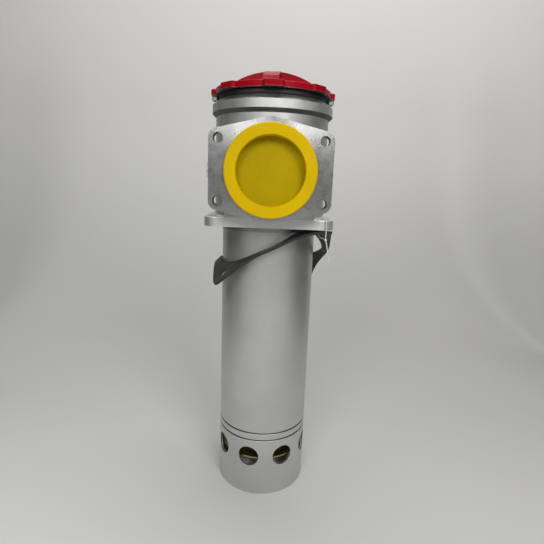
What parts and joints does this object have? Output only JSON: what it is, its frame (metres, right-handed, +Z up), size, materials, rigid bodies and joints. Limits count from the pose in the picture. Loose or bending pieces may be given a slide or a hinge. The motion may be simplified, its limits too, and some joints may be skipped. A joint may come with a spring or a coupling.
{
  "type": "return line filter",
  "caption": "In-tank return line filter: cast head with rectangular inlet flange and screw cover, over a long tube with outlet holes that holds the element, magnets and valves.",
  "frame": {"origin": "on the tube's axis, at the underside of the tank flange", "axes": "+Z up along the tube towards the cover; the inlet flange faces -Y"},
  "size_m": [0.17, 0.2, 0.5896],
  "materials": {
    "cast_aluminium": "cast and part machined, satin",
    "anodised_tube": "satin silver-grey",
    "red_paint": "gloss red paint, bare metal underneath",
    "black_rubber": "matt",
    "yellow_plastic": "semi-gloss",
    "yellow_zinc": "yellow zinc plated",
    "bright_zinc": "bright zinc plated",
    "spring_steel": "oiled",
    "filter_media": "pleated",
    "magnet_black": "sintered ferrite",
    "red_fibre": "matt"
  },
  "bodies": {
    "housing": {"head": "cast_aluminium", "tube": "anodised_tube", "bottom_plate": "bright_zinc", "tube_seal": "black_rubber", "bulkhead": "cast_aluminium", "valve_cage": "yellow_zinc", "cage_posts": "bright_zinc", "cage_screws": "bright_zinc", "valve_spring": "spring_steel", "element_bottom_cap": "bright_zinc", "element_seal": "black_rubber", "element_media": "filter_media", "element_core": "bright_zinc", "element_top_cap": "bright_zinc", "bypass_cage": "bright_zinc", "bypass_spring": "spring_steel", "magnet_bridge": "bright_zinc", "magnet_rod": "bright_zinc", "magnet_nut": "bright_zinc", "magnets": "magnet_black", "pole_discs": "bright_zinc", "pull_knob": "cast_aluminium", "hold_down_spring": "spring_steel", "indicator_plug": "bright_zinc", "indicator_washer": "red_fibre", "inlet_plug": "yellow_plastic", "tank_gasket": "black_rubber"},
    "thrust": {"thrust_cup": "bright_zinc"},
    "lid": {"cover": "red_paint", "cover_seal": "black_rubber"},
    "return_valve": {"valve_seal": "black_rubber", "valve_plate": "yellow_zinc", "valve_stem": "bright_zinc", "valve_nut": "bright_zinc"},
    "bypass_valve": {"bypass_poppet": "cast_aluminium"}
  },
  "joints": [
    {"name": "cover_lift", "type": "slide", "parent": "housing", "child": "thrust", "axis": [0, 0, 1], "range_m": [0, 0.015], "deforming": ["hold_down_spring"]},
    {"name": "cover_turn", "type": "hinge", "parent": "thrust", "child": "lid", "pos_m": [0, 0, 0.166], "axis": [0, 0, 1], "range_deg": [0, 1800]},
    {"name": "return_valve_slide", "type": "slide", "parent": "housing", "child": "return_valve", "axis": [0, 0, -1], "range_m": [0, 0.012], "stiffness_N_per_m": 400, "springref_m": -0.02, "deforming": ["valve_spring"]},
    {"name": "bypass_valve_slide", "type": "slide", "parent": "housing", "child": "bypass_valve", "axis": [0, 0, -1], "range_m": [0, 0.008], "stiffness_N_per_m": 1500, "springref_m": -0.01, "deforming": ["bypass_spring"]}
  ],
  "couplings": [
    {"joint": "cover_lift", "follows": "cover_turn", "m_per_rad": 0.00047746}
  ]
}
